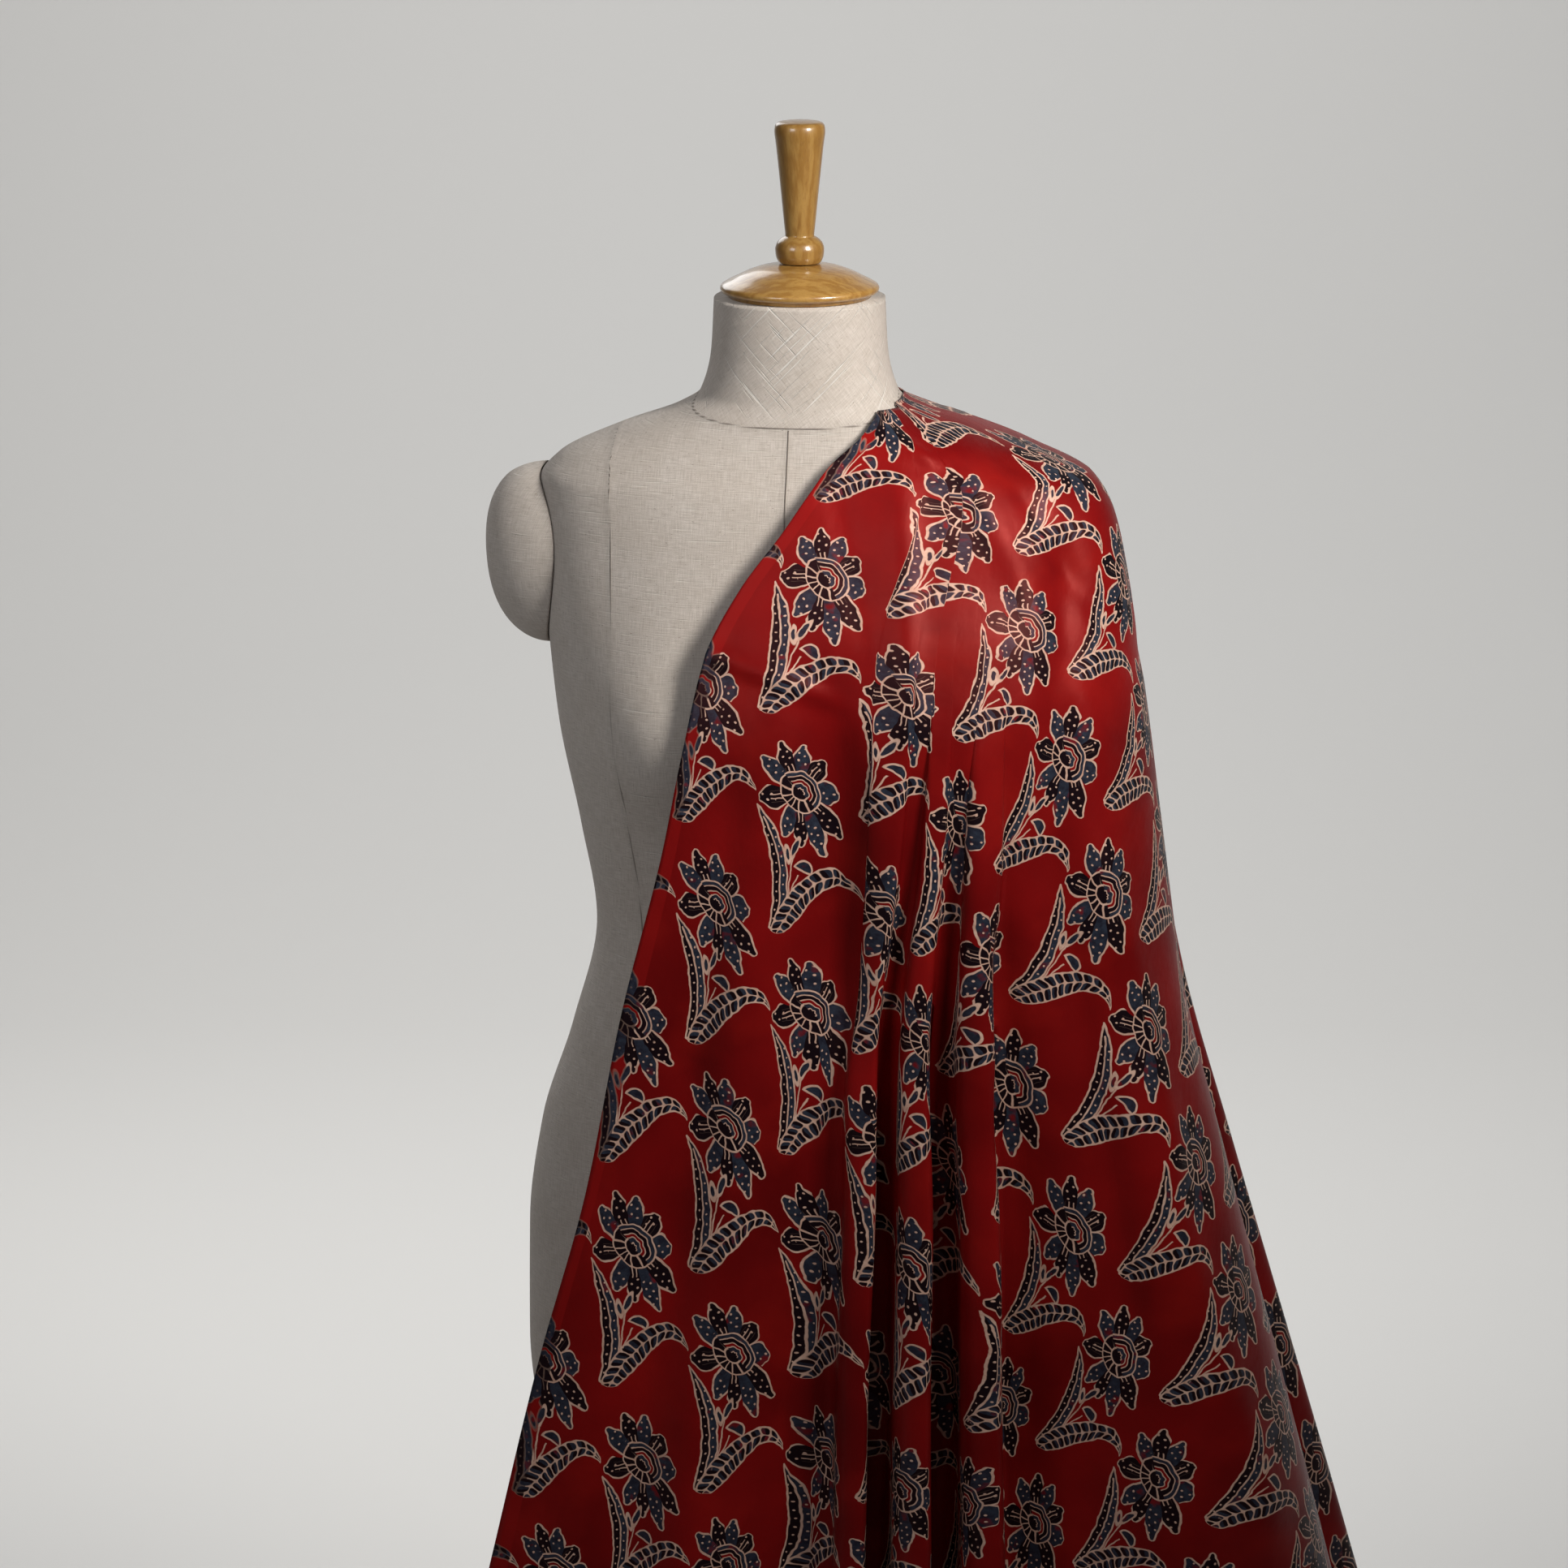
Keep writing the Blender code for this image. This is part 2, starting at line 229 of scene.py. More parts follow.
# Cubic through the table's rows, with slopes as harmonic means so that nothing overshoots
def smoothRows(table, heights):
    z = table[:, 0]
    v = table[:, 1:]
    step = np.diff(z)[:, None]
    slope = np.diff(v, axis=0) / step
    mid = np.zeros_like(v)
    both = slope[:-1] * slope[1:]
    total = slope[:-1] + slope[1:]
    mid[1:-1] = np.where(both > 0, 2 * both / np.where(total == 0, 1, total), 0)
    mid[0], mid[-1] = slope[0], slope[-1]
    h = np.clip(np.asarray(heights, float), z[0], z[-1])
    k = np.clip(np.searchsorted(z, h, side="right") - 1, 0, len(z) - 2)
    w = step[k, 0]
    t = ((h - z[k]) / w)[..., None]
    w = w[..., None]
    return (v[k] * (2 * t**3 - 3 * t**2 + 1) + v[k + 1] * (3 * t**2 - 2 * t**3)
            + mid[k] * w * (t**3 - 2 * t**2 + t) + mid[k + 1] * w * (t**3 - t**2))


# Turns points about the upright axis by the form's own turn
def turned(points):
    x, y, z = points[..., 0], points[..., 1], points[..., 2]
    c, s = cos(form["turn"]), sin(form["turn"])
    return np.stack((x * c - y * s, x * s + y * c, z), axis=-1)


# Superellipse at each height, deeper in front than behind, with two bell-shaped rises for the bust
def formPoints(angle, height, grow=0.0):
    half, front, back = np.moveaxis(smoothRows(formRows, height), -1, 0)
    c, s = np.cos(angle), np.sin(angle)
    e = 2 / form["power"]
    x = (half + grow) * np.sign(c) * np.abs(c)**e
    y = -(np.where(s > 0, front, back) + grow) * np.sign(s) * np.abs(s)**e
    rise = 0
    for side in (-1, 1):
        rise = rise + np.exp(-((x - side * bust["side"]) / bust["wide"])**2
                             - ((height - bust["height"]) / bust["tall"])**2)
    y = y - bust["lift"] * rise * np.clip(s * 3, 0, 1)
    return np.stack((x, y, height + 0 * x), axis=-1)


# How far forward each column lies: cosine steps between marks, eased at the left and right panels
def foldShape(u):
    marks = np.array((0.0, 0.35, 0.92, 0.14, 1.0, 0.0, 0.94, 0.0, 1.0, 1.0))
    k = np.clip(np.floor(u).astype(int), 0, 8)
    t = u - k
    ease = 0.5 - 0.5 * np.cos(pi * t)
    shape = marks[k] * (1 - ease) + marks[k + 1] * ease
    fall = np.clip((u - 0.55) / 0.45, 0, 1)
    left = 1 - (1 - marks[1]) * fall**2 * (3 - 2 * fall)
    left = left - 0.22 * np.exp(-((u - 0.42) / 0.13)**2)
    right = np.clip((u - 7) / 0.42, 0, 1)
    right = right**2 * (3 - 2 * right)
    return np.where(u < 1, left, np.where(u > 7, right, shape))


# Superellipse round the body; columns 1 to 7 zigzag between fold crests, 8 to 9 wave behind
def clothPoints(u, z):
    left, right, rear, front, back = np.moveaxis(smoothRows(clothRows, z), -1, 0)
    shares = smoothRows(foldRows, z)
    wide = right - left
    depth = np.minimum(fold["growth"] * np.clip(fold["start"] - z, 0, None), fold["limit"])
    crisp = np.clip(depth / fold["crispAt"], 0, 1)
    lean = (fold["soft"] * (1 - crisp) + fold["sharp"] * crisp) * np.clip(wide / fold["fullWidth"], 0, 1)
    crest = [left + shares[..., k] * wide for k in range(4)]
    marks = np.stack((left, crest[0], crest[1], crest[1] + lean, crest[2], crest[2] + lean,
                      crest[3], crest[3] + lean, right), axis=-1)
    k = np.clip(np.floor(u).astype(int), 0, 7)
    t = np.clip(u - k, 0, 1)
    t = t + np.where(k > 0, 0.9, 0) * np.sin(2 * pi * t) / (2 * pi)
    across = (np.take_along_axis(marks, k[..., None], -1)[..., 0] * (1 - t)
              + np.take_along_axis(marks, k[..., None] + 1, -1)[..., 0] * t)
    # Each fold turns under at its right edge
    across = across + fold["round"] * np.sin(pi * t) * np.isin(k, (2, 4, 6)) * crisp
    start = np.arccos(np.clip(marks[..., 7] / right, -1, 1)**(drapePower / 2))
    end = np.arccos(np.clip(rear / right, -1, 1)**(drapePower / 2))
    angle = np.where(u < 8, start * (8 - u), -end * (u - 8))
    angle = np.where(u < 7, 0.5, angle)
    side = right * np.cos(angle)**(2 / drapePower)
    x = np.where(u < 7, across, side)
    span = np.where(x < 0, right + 0.10, right)
    envelope = np.clip(1 - (np.abs(x) / span)**drapePower, 0, 1)**(1 / drapePower)
    y = np.where(angle < 0, back, -front) * envelope - np.tan(-form["turn"]) * x
    y = y + depth * (1 - foldShape(u))
    behind = np.clip(u - 8, 0, 1)
    size = flute["growth"] * np.clip(flute["start"] - z, 0, None)**1.1
    wave = -size * np.sin(behind * flute["waves"] * 2 * pi) * np.sin(pi * np.clip(behind * 1.2, 0, 0.5))
    x = x + wave * np.cos(angle) * (u > 8)
    y = y - wave * np.sin(angle) * (u > 8)
    return np.stack((x, y, z + 0 * x), axis=-1)


# Columns run round the body and rows from the top edge down to each column's own hem height
def clothGrid(columns, rowShares):
    panel = np.clip(columns - 7, 0, 1)
    eased = np.where(panel < 1, 7 + np.sin(panel * pi / 2), columns)
    hem = np.interp(np.where(columns > 7, eased, columns), np.arange(10), hemHeights)
    top = clothTop + 0.004 * np.clip(1 - np.abs(columns - 8) / 3, 0, 1)
    t, u = np.meshgrid(rowShares, columns, indexing="ij")
    z = top - (top - hem) * t
    return u, z, clothPoints(u, z)


def evenColumns(count):
    # Columns that are evenly spaced round the cloth at half its height
    fine = np.linspace(0, 9, 1801)
    ring = clothGrid(fine, np.array((0.0, 0.5)))[2][1]
    run = np.concatenate(((0,), np.linalg.norm(np.diff(ring, axis=0), axis=1).cumsum()))
    return np.interp(np.linspace(0, run[-1], count), run, fine)


# Four corners of every square of a grid, whose last column may join the first
def gridFaces(rows, columns, closed=False):
    r, k = np.meshgrid(np.arange(rows - 1), np.arange(columns if closed else columns - 1), indexing="ij")
    n = (k + 1) % columns
    return np.stack((r * columns + k, (r + 1) * columns + k, (r + 1) * columns + n, r * columns + n),
                    axis=-1).reshape(-1, 4)


def meshObject(name, points, faces, body="root"):
    mesh = bpy.data.meshes.new(name)
    mesh.from_pydata(points.reshape(-1, 3).tolist(), [], [list(f) for f in faces])
    mesh.polygons.foreach_set("use_smooth", np.ones(len(mesh.polygons), bool))
    mesh.update()
    piece = bpy.data.objects.new(name, mesh)
    bpy.context.scene.collection.objects.link(piece)
    if body:
        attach(piece, body)
    return piece


def addFlat(piece, flat):
    # One flat coordinate for each vertex, as the piece's own map
    layer = piece.data.uv_layers.new(name="flat")
    corner = np.empty(len(piece.data.loops), np.int32)
    piece.data.loops.foreach_get("vertex_index", corner)
    layer.data.foreach_set("uv", flat.reshape(-1, 2)[corner].astype(np.float32).ravel())


# Unroll the draped cloth: every small triangle keeps its shape as well as its neighbours let it
def flattenCloth(u, z, points, rounds):
    rows, columns = points.shape[:2]
    count = rows * columns
    r, c = np.meshgrid(np.arange(rows - 1), np.arange(columns - 1), indexing="ij")
    a = (r * columns + c).ravel()
    corners = np.concatenate((np.stack((a, a + columns, a + 1), axis=1),
                              np.stack((a + 1, a + columns, a + columns + 1), axis=1)))
    # The folds hold more cloth than their main shape shows
    inFold = np.clip((u - 1.2) / 0.5, 0, 1) * np.clip((7.2 - u) / 0.4, 0, 1)
    fuller = (1 + net["extra"] * inFold * np.clip((1.2 - z) / 0.35, 0, 1)).ravel()[corners].mean(axis=1)
    # Each triangle in its own plane, with its first axis along the row
    p = points.reshape(-1, 3)[corners]
    side, other = p[:, 1] - p[:, 0], p[:, 2] - p[:, 0]
    face = np.cross(side, other)
    face /= np.linalg.norm(face, axis=1, keepdims=True)
    first = np.gradient(points, axis=1).reshape(-1, 3)[corners].sum(axis=1)
    first -= face * (first * face).sum(axis=1, keepdims=True)
    first /= np.linalg.norm(first, axis=1, keepdims=True)
    second = np.cross(face, first)
    local = np.stack((np.stack(((side * first).sum(axis=1) * fuller, (other * first).sum(axis=1) * fuller), axis=-1),
                      np.stack(((side * second).sum(axis=1), (other * second).sum(axis=1)), axis=-1)), axis=1)
    area = 0.5 * np.linalg.det(local)
    back = np.linalg.inv(local)
    slopes = np.stack((-back[:, 0] - back[:, 1], back[:, 0], back[:, 1]), axis=1)
    system = np.zeros((count, count))
    for i in range(3):
        for j in range(3):
            np.add.at(system, (corners[:, i], corners[:, j]), area * (slopes[:, i] * slopes[:, j]).sum(axis=1))
    # A fan about the neck is the first guess
    down = np.linalg.norm(np.diff(points, axis=0), axis=2).cumsum(axis=0)
    radius = np.vstack((np.zeros((1, columns)), down)) + 0.04
    steps = np.linalg.norm(np.diff(points[rows // 2], axis=0), axis=1)
    middle = radius[rows // 2]
    angle = np.concatenate(((0,), (2 * steps / (middle[1:] + middle[:-1])).cumsum()))
    flat = np.stack((radius * np.sin(angle), 0.04 - radius * np.cos(angle)), axis=-1).reshape(-1, 2)
    # The left selvedge runs straight down U = 0
    held = np.arange(rows) * columns
    flat[held] = np.stack((np.zeros(rows), -np.concatenate(((0,), down[:, 0]))), axis=-1)
    free = np.setdiff1d(np.arange(count), held)
    solved = np.linalg.inv(system[np.ix_(free, free)])
    fixed = system[np.ix_(free, held)] @ flat[held]
    for k in range(rounds):
        change = np.einsum("tic,tik->tck", flat[corners], slopes)
        c, s = change[:, 0, 0] + change[:, 1, 1], change[:, 1, 0] - change[:, 0, 1]
        size = np.hypot(c, s)
        turn = np.stack((np.stack((c, -s), axis=-1), np.stack((s, c), axis=-1)), axis=1) / size[:, None, None]
        goal = np.zeros((count, 2))
        np.add.at(goal, corners, np.einsum("tck,tik,t->tic", turn, slopes, area))
        flat[free] = solved @ (goal[free] - fixed)
    return flat.reshape(rows, columns, 2)


net = dict(columns=52, rows=46, extra=0.15, rounds=60)
netU, netZ, netPoints = clothGrid(evenColumns(net["columns"]), np.linspace(0, 1, net["rows"]))
netFlat = flattenCloth(netU, netZ, netPoints, net["rounds"])
print("flat net spans", netFlat.reshape(-1, 2).min(axis=0), netFlat.reshape(-1, 2).max(axis=0))


def readNet(u, rowShare):
    # Flat coordinates at fine columns and rows, read between the net's points
    c = np.clip(np.searchsorted(netU[0], u, side="right") - 1, 0, netU.shape[1] - 2)
    ct = ((u - netU[0][c]) / (netU[0][c + 1] - netU[0][c]))[..., None]
    r = rowShare * (net["rows"] - 1)
    r0 = np.clip(np.floor(r).astype(int), 0, net["rows"] - 2)
    rt = (r - r0)[..., None]
    return ((netFlat[r0, c] * (1 - ct) + netFlat[r0, c + 1] * ct) * (1 - rt)
            + (netFlat[r0 + 1, c] * (1 - ct) + netFlat[r0 + 1, c + 1] * ct) * rt)


# The cloth
cloth = dict(strips=(44, 22, 14, 22, 14, 22, 14, 44, 60), rows=184, closerAtTop=1.3, thick=0.0008)
rowShares = np.linspace(0, 1, cloth["rows"])**cloth["closerAtTop"]
columns = np.concatenate([k + np.arange(n) / n for k, n in enumerate(cloth["strips"])] + [[9.0]])
u, z, points = clothGrid(columns, rowShares)
share = np.repeat(rowShares[:, None], u.shape[1], axis=1)
# Its top edge leans in on the base of the neck
neck = dict(start=1.366, run=0.026, half=0.068, deep=0.060, rise=0.004, clear=0.0022)
near = np.clip((points[..., 2] - neck["start"]) / neck["run"], 0, 1)**1.5
c, s = cos(-form["turn"]), sin(-form["turn"])
ownX, ownY = points[..., 0] * c - points[..., 1] * s, points[..., 0] * s + points[..., 1] * c
e = form["power"] / 2
turn = np.arctan2(np.sign(-ownY) * np.abs(ownY / neck["deep"])**e, np.sign(ownX) * np.abs(ownX / neck["half"])**e)
hug = turned(formPoints(turn, points[..., 2] + neck["rise"], neck["clear"]))
points = points + (hug - points) * near[..., None]
flat = readNet(u, share)

# Where the photograph shows the flowers, by their steps along the print's two repeats (pixels)
repeat = dict(b=(4.15, 9.35), c=(8.3, -5.4), origin=(4.6, -38.8))
flowerPixels = {
    (3, -1): (1185, 605), (4, -1): (1320, 590), (2, -1): (1025, 705), (2, 0): (1122, 840), (3, 0): (1258, 780),
    (4, 0): (1385, 715), (1, -1): (858, 866), (1, 0): (990, 965), (2, 1): (1185, 1015), (3, 1): (1305, 940),
    (0, 0): (885, 1110), (1, 1): (1093, 1120), (3, 2): (1357, 1100), (-1, 0): (775, 1262), (0, 1): (1012, 1245),
    (1, 2): (1140, 1280), (2, 2): (1215, 1190), (3, 3): (1412, 1268), (-1, 1): (905, 1380), (2, 3): (1255, 1335),
    (-2, 1): (770, 1540), (-1, 2): (1020, 1525), (0, 2): (1072, 1410), (3, 4): (1475, 1430), (1, 3): (1165, 1430),
    (2, 4): (1300, 1515), (-2, 2): (905, 1660), (1, 4): (1225, 1600), (3, 5): (1530, 1590), (2, 5): (1357, 1655),
    (-3, 2): (790, 1810), (-2, 3): (1015, 1790), (-1, 3): (1060, 1685), (0, 3): (1120, 1560), (2, 6): (1420, 1815),
    (3, 6): (1580, 1745), (-3, 3): (895, 1930),
}


# Where the camera sees each point, in the photograph's pixels
def photoPixels(points):
    ahead = np.array(camera["aim"]) - camera["place"]
    ahead /= np.linalg.norm(ahead)
    right = np.cross(ahead, (0, 0, 1))
    right /= np.linalg.norm(right)
    d = points - np.array(camera["place"])
    scale = photoSize * camera["lens"] / camera["sensor"] / (d @ ahead)
    return photoSize / 2 + scale * (d @ right), photoSize / 2 - scale * (d @ np.cross(right, ahead))


# Ease the flat map so that each flower comes near its own place
seenX, seenY = photoPixels(points)
asked, moved = [], []
for (i, j), (px, py) in flowerPixels.items():
    near = np.unravel_index((np.hypot(seenX - px, seenY - py) + 1e6 * (u > 8)).argmin(), u.shape)
    goal = np.array(repeat["origin"]) + i * np.array(repeat["b"]) + j * np.array(repeat["c"])
    asked.append(flat[near])
    moved.append(goal / 100 - flat[near])
asked, moved = np.array(asked), np.array(moved)
shift = np.zeros_like(flat)
left = moved.copy()
for reach, rest in ((0.16, 0.02), (0.09, 0.2)):
    def eased(places):
        weight = np.exp(-((places[..., None, :] - asked)**2).sum(axis=-1) / reach**2)
        return (weight @ left) / (weight.sum(axis=-1, keepdims=True) + rest)
    shift += eased(flat)
    left = left - eased(asked)
shift[..., 0] *= np.clip(flat[..., 0] / 0.02, 0, 1)
print("flowers moved by", np.abs(moved).mean(axis=0), "left over", np.abs(left).mean(axis=0))
flat = flat + shift

# Tension lines and soft dents: two ends in width and height, reach across, lift
creases = (
    ((0.115, 1.365), (0.205, 1.180), 0.011, 0.0016),
    ((0.150, 1.350), (0.228, 1.230), 0.008, -0.0018),
    ((0.185, 1.290), (0.175, 1.100), 0.014, -0.0035),
    ((0.070, 1.330), (0.075, 1.200), 0.012, 0.0020),
    ((0.030, 1.330), (0.060, 1.190), 0.014, -0.0018),
    ((-0.050, 1.235), (0.010, 1.215), 0.006, 0.0022),
    ((0.215, 1.080), (0.262, 0.880), 0.012, 0.0030),
    ((0.190, 1.020), (0.235, 0.760), 0.016, -0.0040),
    ((0.240, 0.900), (0.330, 0.620), 0.016, 0.0040),
    ((0.060, 1.380), (0.085, 1.368), 0.004, 0.0020),
    ((0.022, 1.165), (0.026, 1.020), 0.024, -0.0085),
    ((-0.030, 1.150), (-0.050, 0.960), 0.020, 0.0025),
    ((0.118, 1.160), (0.128, 0.960), 0.013, 0.0026),
    ((0.140, 1.020), (0.165, 0.800), 0.014, -0.0030),
)
creaseShare = 1.6
lift = np.zeros_like(z)
for (x0, z0), (x1, z1), reach, size in creases:
    d = np.array((x1 - x0, z1 - z0))
    long = np.linalg.norm(d)
    d = d / long
    along = (points[..., 0] - x0) * d[0] + (z - z0) * d[1]
    off = (points[..., 0] - x0) * d[1] - (z - z0) * d[0]
    beyond = np.maximum(np.maximum(-along, along - long), 0)
    lift += creaseShare * size * np.exp(-(off / reach)**2 - (beyond / (2.5 * reach))**2) * (u < 8.2)
across = np.gradient(points, axis=1)
downward = np.gradient(points, axis=0)
outward = np.cross(downward, across)
outward /= np.linalg.norm(outward, axis=-1, keepdims=True) + 1e-12
points = points + outward * lift[..., None]

# Where a fold would sink into the form, the cloth rests on it
ownX, ownY = points[..., 0] * c - points[..., 1] * s, points[..., 0] * s + points[..., 1] * c
half, front, _ = np.moveaxis(smoothRows(formRows, points[..., 2]), -1, 0)
rise = sum(np.exp(-((ownX - side * bust["side"]) / bust["wide"])**2
                  - ((points[..., 2] - bust["height"]) / bust["tall"])**2) for side in (-1, 1))
skinY = -front * (1 - np.clip(np.abs(ownX) / half, 0, 1)**form["power"])**(1 / form["power"]) - bust["lift"] * rise
clearance = 0.003
sunk = np.clip(ownY - (skinY - clearance), 0, None) * (np.abs(ownX) < half * 0.97) * (u < 7.6)
print("deepest sink into the form", sunk.max(), "points", (sunk > 0).sum())
points = points - np.stack((-s * -sunk, c * sunk, 0 * sunk), axis=-1)

clothPiece = meshObject("printed_cloth", points, gridFaces(*u.shape))
addFlat(clothPiece, flat)
thick = clothPiece.modifiers.new("thickness", "SOLIDIFY")
thick.thickness = cloth["thick"]
thick.offset = 0
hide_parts("cloth")
print("cloth made")

# The block print, all in centimetres on the flat cloth
ink = dict(cream=(0.74, 0.50, 0.395), faded=(0.52, 0.29, 0.21), black=(0.0040, 0.0038, 0.0062),
           indigo=(0.0120, 0.0170, 0.029), washed=(0.030, 0.046, 0.070),
           red=(0.255, 0.0050, 0.0054), deep=(0.125, 0.0022, 0.0028), warm=(0.36, 0.0110, 0.0072))
selvedge = 1.0
line = 0.060


def cell(x, y, centre):
    # Place within the nearest motif, each group having a cell about its own centre
    (bx, by), (cx, cy) = repeat["b"], repeat["c"]
    det = bx * cy - by * cx
    px = x - centre[0]
    py = y - centre[1]
    i = calc("ROUND", px * (cy / det) + py * (-cx / det))
    j = calc("ROUND", px * (-by / det) + py * (bx / det))
    return x - (i * bx + j * cx), y - (i * by + j * cy)


# Petals of the flower: heading in degrees, length, half width, 1 for black and 0 for indigo
petals = (
    (-160, 2.85, 0.86, 1), (-97, 3.30, 0.62, 0), (-74, 3.90, 0.60, 1), (-56, 4.95, 0.64, 0), (-35, 4.30, 0.70, 1),
    (6, 2.55, 0.98, 0), (68, 2.62, 0.80, 1), (103, 3.45, 0.62, 0), (125, 3.95, 0.62, 1), (148, 3.72, 0.66, 0),
)
petalTurns = (-180, -128, -85, -65, -45, -14, 38, 86, 114, 137, 176)


def flower(x, y):
    fx, fy = cell(x, y, (0.2, 0.0))
    r = length(fx, fy)
    theta = calc("ARCTAN2", fy, fx)
    # Each sector of the angle holds one petal; a stepped ramp tells which
    ramp = node("ShaderNodeValToRGB", Fac=ranged(theta, -pi, pi))
    ramp.color_ramp.interpolation = "CONSTANT"
    stops = ramp.color_ramp.elements
    rows = list(petals) + [(200, *petals[0][1:])]
    while len(stops) < len(rows):
        stops.new(0.5)
    for stop, start, (heading, long, wide, isBlack) in zip(stops, petalTurns, rows):
        stop.position = (start + 180) / 360
        stop.color = ((heading + 180) / 400, long / 5, wide / 2, isBlack)
    parts = node("ShaderNodeSeparateColor", Color=Wire(ramp.outputs[0]))
    heading, long, wide = [Wire(socket) for socket in parts.outputs]
    isBlack = Wire(ramp.outputs["Alpha"])
    off = theta - (heading * (400 * pi / 180) - pi)
    long = long * 5.0
    wide = wide * 2.0
    lx = r * calc("COSINE", off)
    ly = r * calc("SINE", off)
    aside = absolute(ly)
    s = (lx - 1.0) / (long - 1.0)
    reach = curve(s, ((0, 0.66), (0.18, 0.86), (0.38, 1.0), (0.58, 0.96), (0.74, 0.72), (0.87, 0.42), (0.95, 0.30),
                      (1, 0.05)))
    edge = larger(aside - wide * reach, lx - long) * 0.88
    petal = inside(edge)
    dotRows = wrapped(lx + calc("SIGN", ly) * 0.15, 0.60)
    dots = inside(length(dotRows, aside - 0.20) - 0.075) * band(s - 0.62, 0.25)
    strokes = band(wrapped(ly + 0.14, 0.28), 0.035) * inside(lx - 2.05) * isBlack * inside(aside - 0.38)
    # Heart: wavy arcs one within another, over a row of black beads
    tilt = radians(54)
    up = (fx + 0.05) * cos(tilt) + (fy + 0.05) * sin(tilt)
    side = (fx + 0.05) * sin(tilt) - (fy + 0.05) * cos(tilt)
    turn = calc("ARCTAN2", up, side)
    over = length(side / 1.72, up / 1.34) + calc("SINE", turn * 7.0 + 0.9) * 0.022
    under = length(side / 1.66, up / 1.04)
    isOver = inside(0.10 - up, 0.05)
    heart = inside(((over * isOver + under * (1.0 - isOver)) - 1.03) * 1.5)
    arcs = sum((band((over - at) * 1.5, 0.036) for at in (0.79, 0.58, 0.42, 0.20)),
               band((over - 1.0) * 1.5, line))
    beads = band((under - 1.0) * 1.3, line) + band((under - 0.40) * 1.3, 0.055)
    beads = beads + band(wrapped(turn + 0.2, 0.50) * under * 1.3, 0.050) * inside(0.40 - under)
    heartCream = smaller(arcs * isOver + beads * (1.0 - isOver), 1.0) * heart
    redBand = inside(absolute(over - 0.50) - 0.06, 0.03) * isOver
    blueBand = larger(inside(absolute(over - 0.90) - 0.09, 0.03), inside(absolute(over - 0.31) - 0.09, 0.03)) * isOver
    heartBlack = 1.0 - blueBand
    creamMask = smaller((band(edge, line) + (dots + strokes) * petal) * (1.0 - heart) + heartCream, 1.0)
    fillMask = larger(petal * (1.0 - heart), heart * (1.0 - redBand))
    return creamMask, fillMask, isBlack * (1.0 - heart) + heartBlack * heart


def longLeaf(x, y):
    # A leaf on an arc, with a black lane and an indigo lane, both dotted
    gx, gy = cell(x, y, (-0.9, -5.6))
    ax, ay = gx + 11.09, gy + 9.63
    t = (calc("ARCTAN2", ay, ax) + 0.012) / 0.775
    base = calc("POWER", larger(1.0 - t, 0.0), 2.2)
    d = length(ax, ay) - 11.70 + base * 0.42
    wide = curve(t, ((0, 0.20), (0.04, 0.38), (0.25, 0.50), (0.5, 0.53), (0.75, 0.40), (0.9, 0.20), (1, 0.0)))
    edge = larger(absolute(d) - wide, absolute(t - 0.5) * 9.0 - 4.5)
    leaf = inside(edge)
    spotRows = wrapped(t * 9.0 + calc("SIGN", d) * 0.13, 0.66)
    spots = inside(length(spotRows, absolute(d) - 0.25) - 0.065) * inside((t - 0.86) * 9)
    middle = band(d, 0.055) * inside((t - 0.90) * 9)
    return smaller(band(edge, line) + (middle + spots) * leaf, 1.0), leaf, inside(d)


def bentLeaf(x, y):
    # A leaf that bends over, with a midrib and two rows of cells
    bx, by = cell(x, y, (3.1, -7.6))
    ax, ay = bx - 4.6, by + 9.4
    angle = calc("ARCTAN2", ay, calc("MULTIPLY", ax, -1.0))    # falls from the tip to the base
    t = 1.0 - (angle + 0.113) / 1.886
    reach = curve(1.0 - t, ((0, 4.06 / 5), (0.19, 3.63 / 5), (0.355, 3.57 / 5), (0.497, 3.66 / 5), (0.642, 3.93 / 5),
                            (0.762, 4.24 / 5), (0.855, 4.22 / 5), (0.94, 3.92 / 5), (1, 3.60 / 5))) * 5.0
    d = (length(ax, ay) - reach) * 0.93
    wide = curve(t, ((0, 0.0), (0.06, 0.16), (0.15, 0.36), (0.28, 0.56), (0.5, 0.72), (0.8, 0.74), (0.94, 0.60),
                     (1, 0.30)))
    edge = larger(absolute(d) - wide, absolute(t - 0.5) * 6.6 - 3.3) * 0.95
    leaf = inside(edge)
    chevron = t * 12.5 - absolute(d) * 0.62
    # Round-cornered cells on both sides of the midrib
    along = (0.5 - wrapped(chevron, 1.0)) / 0.425
    half = wide * 0.5
    beside = (absolute(absolute(d) - half) + 0.030) / larger(half, 0.05)
    cells = calc("POWER", along, 3.4) + calc("POWER", beside, 3.4)
    side = calc("GREATER_THAN", d, 0.0)
    odd = calc("GREATER_THAN", calc("WRAP", chevron + 0.5 + side, 0.0, 2.0), 1.0)
    return inside(edge - line) * (1.0 - inside(cells - 1.0, 0.5)), leaf, odd


